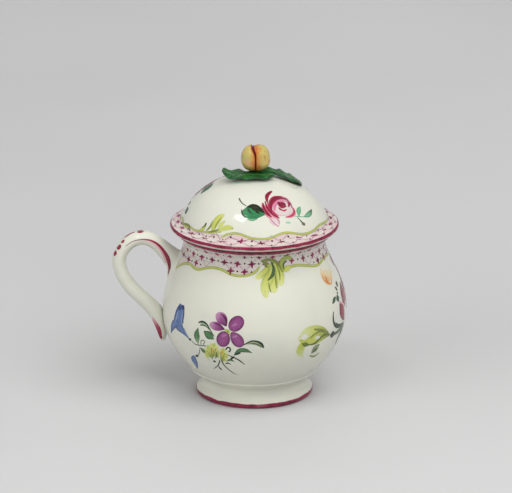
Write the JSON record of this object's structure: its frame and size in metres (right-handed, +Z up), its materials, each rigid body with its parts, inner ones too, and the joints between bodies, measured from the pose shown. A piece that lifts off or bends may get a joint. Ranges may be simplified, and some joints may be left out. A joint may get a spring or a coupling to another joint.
{
  "type": "covered custard cup",
  "caption": "Small pear-shaped porcelain cup with a loop handle, a spreading foot ring and a lift-off domed cover topped by a cleft fruit on leaves, painted with scattered flowers.",
  "frame": {"origin": "middle of the foot ring, at the table", "axes": "+Z up through the fruit on the cover, the handle points along -X, +Y is away from the side seen in the picture"},
  "size_m": [0.0796, 0.0626, 0.0874],
  "materials": {
    "porcelain": "clear gloss glaze over a warm greyish ivory body",
    "leaf_glaze": "thick glossy green",
    "fruit_glaze": "yellow-green turning orange, crimson in the cleft",
    "enamel": "painted overglaze colours, slightly raised"
  },
  "bodies": {
    "root": {"cup": "porcelain", "cover": "porcelain"}
  },
  "joints": []
}
